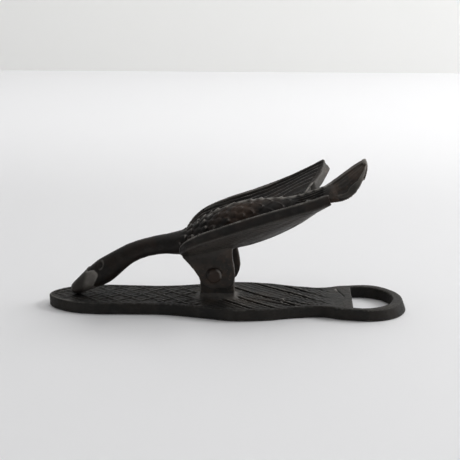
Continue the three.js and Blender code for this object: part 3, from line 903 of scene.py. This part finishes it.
# A painted highlight on the right-hand side of each head's rim.
rim_glint = bump(from_axis, HEAD_RADIUS - 0.35, 0.45) * smooth_step(0.55, 0.95, np.cos(heading - 0.5))
note(rivet, "bare_and_lit", 1.2 * rim_glint * (np.abs(skin[:, 1]) > half_bar + 0.3))
note(rivet, "brown", np.full(len(skin), 0.4))
sand_skin(rivet, broad=0.1, fine=0.05)
thin_out(rivet)

# %% [markdown]
# ## Finish
# Old iron shows grey metal where hands and tables rub it, and its hollows are darker with dust and painted
# shade. The rub is measured on the mesh: where a point stands proud of its neighbours it is worn, where it
# lies low it gets painted shade and dust.
# The lower ends of the ears hang where no hand reaches, so they are sheltered from it.

# %% Measure where each piece is rubbed, and where painted shade and dust gather
def note_wear_and_shade(piece, full_wear=0.08, sheltered=lambda points: 0.0):
    points, edges = points_of(piece), edges_of(piece)
    counts = np.bincount(edges.ravel(), minlength=len(points))
    mean = neighbour_mean(neighbour_mean(points, edges, counts), edges, counts)
    proud = ((points - mean) * normals_of(piece)).sum(1)
    proud = ease(proud, edges, 2)
    # The hollow note darkens low points with painted shade and dust.
    for name, value in (("worn", proud * (1 - sheltered(points))), ("hollow", -proud)):
        note(piece, name, value / full_wear)
    print(piece.name, "worn share", round(float((proud > full_wear * 0.5).mean()), 3))


def on_ears(points):
    x, y, z = (points - PIVOT).T
    return ((np.abs(y) < 9) & (z < 3) & (np.abs(x) < 9.8)).astype(float)


note_wear_and_shade(goose, full_wear=0.11, sheltered=on_ears)
note_wear_and_shade(plate, full_wear=0.09)
note_wear_and_shade(rivet)

# %% [markdown]
# One recipe makes all three irons. Cloud patterns mottle the black skin with brown rust bloom and grey oxide,
# and the brown gathers where it was noted. Worn places and the noted bare and painted-light places turn
# lighter and smoother, and hollows get painted shade with dust. Two bumps add the sand's grain and small
# dents.

# %% Iron finishes
def old_iron(name, black, brown, grey, bare_and_lit, brown_share, rough):
    material = bpy.data.materials.new(name)
    material.use_nodes = True
    tree = material.node_tree
    shader = tree.nodes["Principled BSDF"]
    shader.inputs["Metallic"].default_value = 0.15
    shader.inputs["Specular IOR Level"].default_value = 0.22

    def node(kind, **settings):
        made = tree.nodes.new(kind)
        for key, value in settings.items():
            if key in made.inputs:
                made.inputs[key].default_value = value
            else:
                setattr(made, key, value)
        return made

    def fill(socket, value):
        if isinstance(value, bpy.types.NodeSocket):
            tree.links.new(value, socket)
        else:
            socket.default_value = (*value, 1) if isinstance(value, tuple) else value

    def calc(operation, first, second):
        made = node("ShaderNodeMath", operation=operation, use_clamp=True)
        fill(made.inputs[0], first)
        fill(made.inputs[1], second)
        return made.outputs["Value"]

    place = node("ShaderNodeTexCoord").outputs["Object"]

    def cloud(size_mm, detail=4.0):
        made = node("ShaderNodeTexNoise", Scale=1 / (size_mm * MM), Detail=detail, Roughness=0.6)
        fill(made.inputs["Vector"], place)
        return made.outputs["Fac"]

    def spread(source, low, high, out_low=0.0, out_high=1.0):
        made = node("ShaderNodeMapRange", interpolation_type="SMOOTHSTEP")
        for key, value in (("From Min", low), ("From Max", high), ("To Min", out_low), ("To Max", out_high)):
            made.inputs[key].default_value = value
        fill(made.inputs["Value"], source)
        return made.outputs["Result"]

    def blend(share, first, second):
        made = node("ShaderNodeMix", data_type="RGBA")
        fill(made.inputs["Factor"], share)
        fill(made.inputs[6], first)
        fill(made.inputs[7], second)
        return made.outputs[2]

    def noted(attribute):
        return node("ShaderNodeAttribute", attribute_name=attribute).outputs["Fac"]

    bloom = calc("MULTIPLY", spread(cloud(9.0), 0.4, 0.62), calc("ADD", noted("brown"), brown_share))
    oxide = spread(cloud(5.5), 0.48, 0.7, 0.0, 0.7)
    rust = calc("MULTIPLY", spread(cloud(1.5, detail=5), 0.55, 0.66), calc("MULTIPLY", noted("brown"), 0.8))
    skin_colour = blend(rust, blend(bloom, blend(oxide, black, grey), brown), tuple(1.8 * v for v in brown))
    patchy = spread(cloud(2.4), 0.3, 0.6, 0.3, 1.0)
    soft_patches = spread(cloud(4.0, detail=2), 0.3, 0.65, 0.72, 1.0)
    # Rubbed places and the noted bare places, which include painted highlights and painted light, turn
    # lighter.
    rubbed_and_lit = calc("MULTIPLY", spread(noted("worn"), 0.3, 1.0), patchy)
    rubbed_and_lit = calc("MAXIMUM", rubbed_and_lit, calc("MULTIPLY", noted("bare_and_lit"), soft_patches))
    colour = blend(rubbed_and_lit, skin_colour, bare_and_lit)
    # Painted shade with dust darkens the hollows.
    dust_and_shade = spread(noted("hollow"), 0.15, 0.9, 0.0, 0.7)
    fill(shader.inputs["Base Color"], blend(dust_and_shade, colour, tuple(0.4 * v for v in black)))

    rough_skin = spread(cloud(0.9, detail=5), 0.35, 0.7, rough - 0.06, rough + 0.1)
    fill(shader.inputs["Roughness"], calc("SUBTRACT", rough_skin, calc("MULTIPLY", rubbed_and_lit, 0.14)))

    grain = node("ShaderNodeBump", Strength=0.5, Distance=0.1 * MM)
    fill(grain.inputs["Height"], cloud(0.5, detail=6))
    dents = node("ShaderNodeBump", Strength=0.45, Distance=0.3 * MM)
    fill(dents.inputs["Height"], cloud(2.6, detail=3))
    fill(dents.inputs["Normal"], grain.outputs["Normal"])
    fill(shader.inputs["Normal"], dents.outputs["Normal"])
    return material


goose_finish = old_iron(
    "goose iron", black=(0.0102, 0.0088, 0.0080), brown=(0.036, 0.0215, 0.0145), grey=(0.020, 0.0195, 0.0172),
    bare_and_lit=(0.20, 0.187, 0.17), brown_share=0.3, rough=0.52)
plate_finish = old_iron(
    "plate iron", black=(0.0088, 0.0085, 0.0080), brown=(0.036, 0.0250, 0.0170), grey=(0.021, 0.0215, 0.0195),
    bare_and_lit=(0.19, 0.18, 0.165), brown_share=0.22, rough=0.6)
rivet_finish = old_iron(
    "rivet steel", black=(0.0100, 0.0085, 0.0078), brown=(0.038, 0.0235, 0.0165), grey=(0.026, 0.024, 0.022),
    bare_and_lit=(0.17, 0.158, 0.145), brown_share=0.45, rough=0.42)
print("three finishes ready")

# %% [markdown]
# Each casting now stands for its node in the frame, rides on its body and takes its finish. The frame's own
# nodes keep the same finish, though the castings hide them.

# %% Hang the pieces on the frame
for piece, node_name, body, slot_name, finish in (
    (goose, "goose_lever", "goose", "goose_iron", goose_finish),
    (plate, "base_plate", "base", "plate_iron", plate_finish),
    (rivet, "pivot_rivet", "base", "rivet_steel", rivet_finish),
):
    piece.data.materials.clear()
    piece.data.materials.append(finish)
    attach(piece, body)
    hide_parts(node_name)
    frame["nodes"][node_name].data.materials.clear()
    frame["nodes"][node_name].data.materials.append(finish)
    print(piece.name, "rides on", body)

# %% [markdown]
# ## The table and the light
# A pale table runs back to a pale wall. The light is a soft window high on the right, a broad ceiling glow, a
# weak wash up the wall, and the room's own white, so the iron's upper faces shine a little and its near side
# stays dark.

# %% Table and wall
def pale_board(name, size, location, rotation, colour):
    bpy.ops.object.select_all(action="DESELECT")
    bpy.ops.mesh.primitive_plane_add(size=1, location=location, rotation=rotation)
    board = bpy.context.object
    board.name = name
    board.scale = (*size, 1)
    settle(board)
    paint = bpy.data.materials.new(name)
    paint.use_nodes = True
    shader = paint.node_tree.nodes["Principled BSDF"]
    for setting, value in (("Base Color", (*colour, 1)), ("Roughness", 0.75), ("Specular IOR Level", 0.2)):
        shader.inputs[setting].default_value = value
    board.data.materials.append(paint)
    return board


WALL_AT = 0.745
table = pale_board(
    "table_top", size=(6, 4), location=(0, WALL_AT - 2, 0), rotation=(0, 0, 0), colour=(0.80, 0.80, 0.81))
wall = pale_board(
    "back_wall", size=(6, 3), location=(0, WALL_AT, 1.5), rotation=(math.pi / 2, 0, 0),
    colour=(0.90, 0.90, 0.885))

# %% Lights
def soft_light(name, size, power, location, aim=(0, 0, 0.03)):
    bpy.ops.object.light_add(type="AREA", location=location)
    lamp = bpy.context.object
    lamp.name = name
    lamp.data.shape = "RECTANGLE"
    lamp.data.size, lamp.data.size_y = size
    lamp.data.energy = power
    lamp.rotation_euler = (Vector(location) - Vector(aim)).to_track_quat("Z", "Y").to_euler()
    return lamp


soft_light("window", size=(0.6, 0.6), power=15, location=(1.3, 0.2, 0.85))
soft_light("ceiling_glow", size=(2.4, 1.6), power=11.5, location=(0.0, 0.2, 1.6))
soft_light("wall_wash", size=(1.4, 0.2), power=1.0, location=(0.0, 0.35, 0.40), aim=(0, WALL_AT, 0.25))
ROOM_WHITE = 0.22
room = bpy.data.worlds.new("room")
room.use_nodes = True
sky = room.node_tree.nodes["Background"]
sky.inputs["Color"].default_value = (1.0, 1.0, 1.0, 1)
sky.inputs["Strength"].default_value = ROOM_WHITE
bpy.context.scene.world = room
bpy.context.scene.view_settings.view_transform = "Standard"

# %% [markdown]
# The camera looks almost square across the plate and a little down on it, from the length of an arm away,
# through a long lens, so the plate's two ends keep nearly the same size.

# %% Camera
CAMERA_AZIMUTH, CAMERA_ELEVATION, CAMERA_DISTANCE = math.radians(2.42), math.radians(16.37), 0.5836
LENS_MM = 94.15
look_at = Vector((0.00199, 0, 0.0394))
away = Vector((
    math.sin(CAMERA_AZIMUTH) * math.cos(CAMERA_ELEVATION),
    -math.cos(CAMERA_AZIMUTH) * math.cos(CAMERA_ELEVATION),
    math.sin(CAMERA_ELEVATION),
))
bpy.ops.object.camera_add(location=look_at + away * CAMERA_DISTANCE)
camera = bpy.context.object
camera.rotation_euler = away.to_track_quat("Z", "Y").to_euler()
camera.data.sensor_width = 36
camera.data.lens = LENS_MM
camera.data.clip_start, camera.data.clip_end = 0.01, 20
bpy.context.scene.camera = camera
print("camera at", [round(v, 3) for v in camera.location])
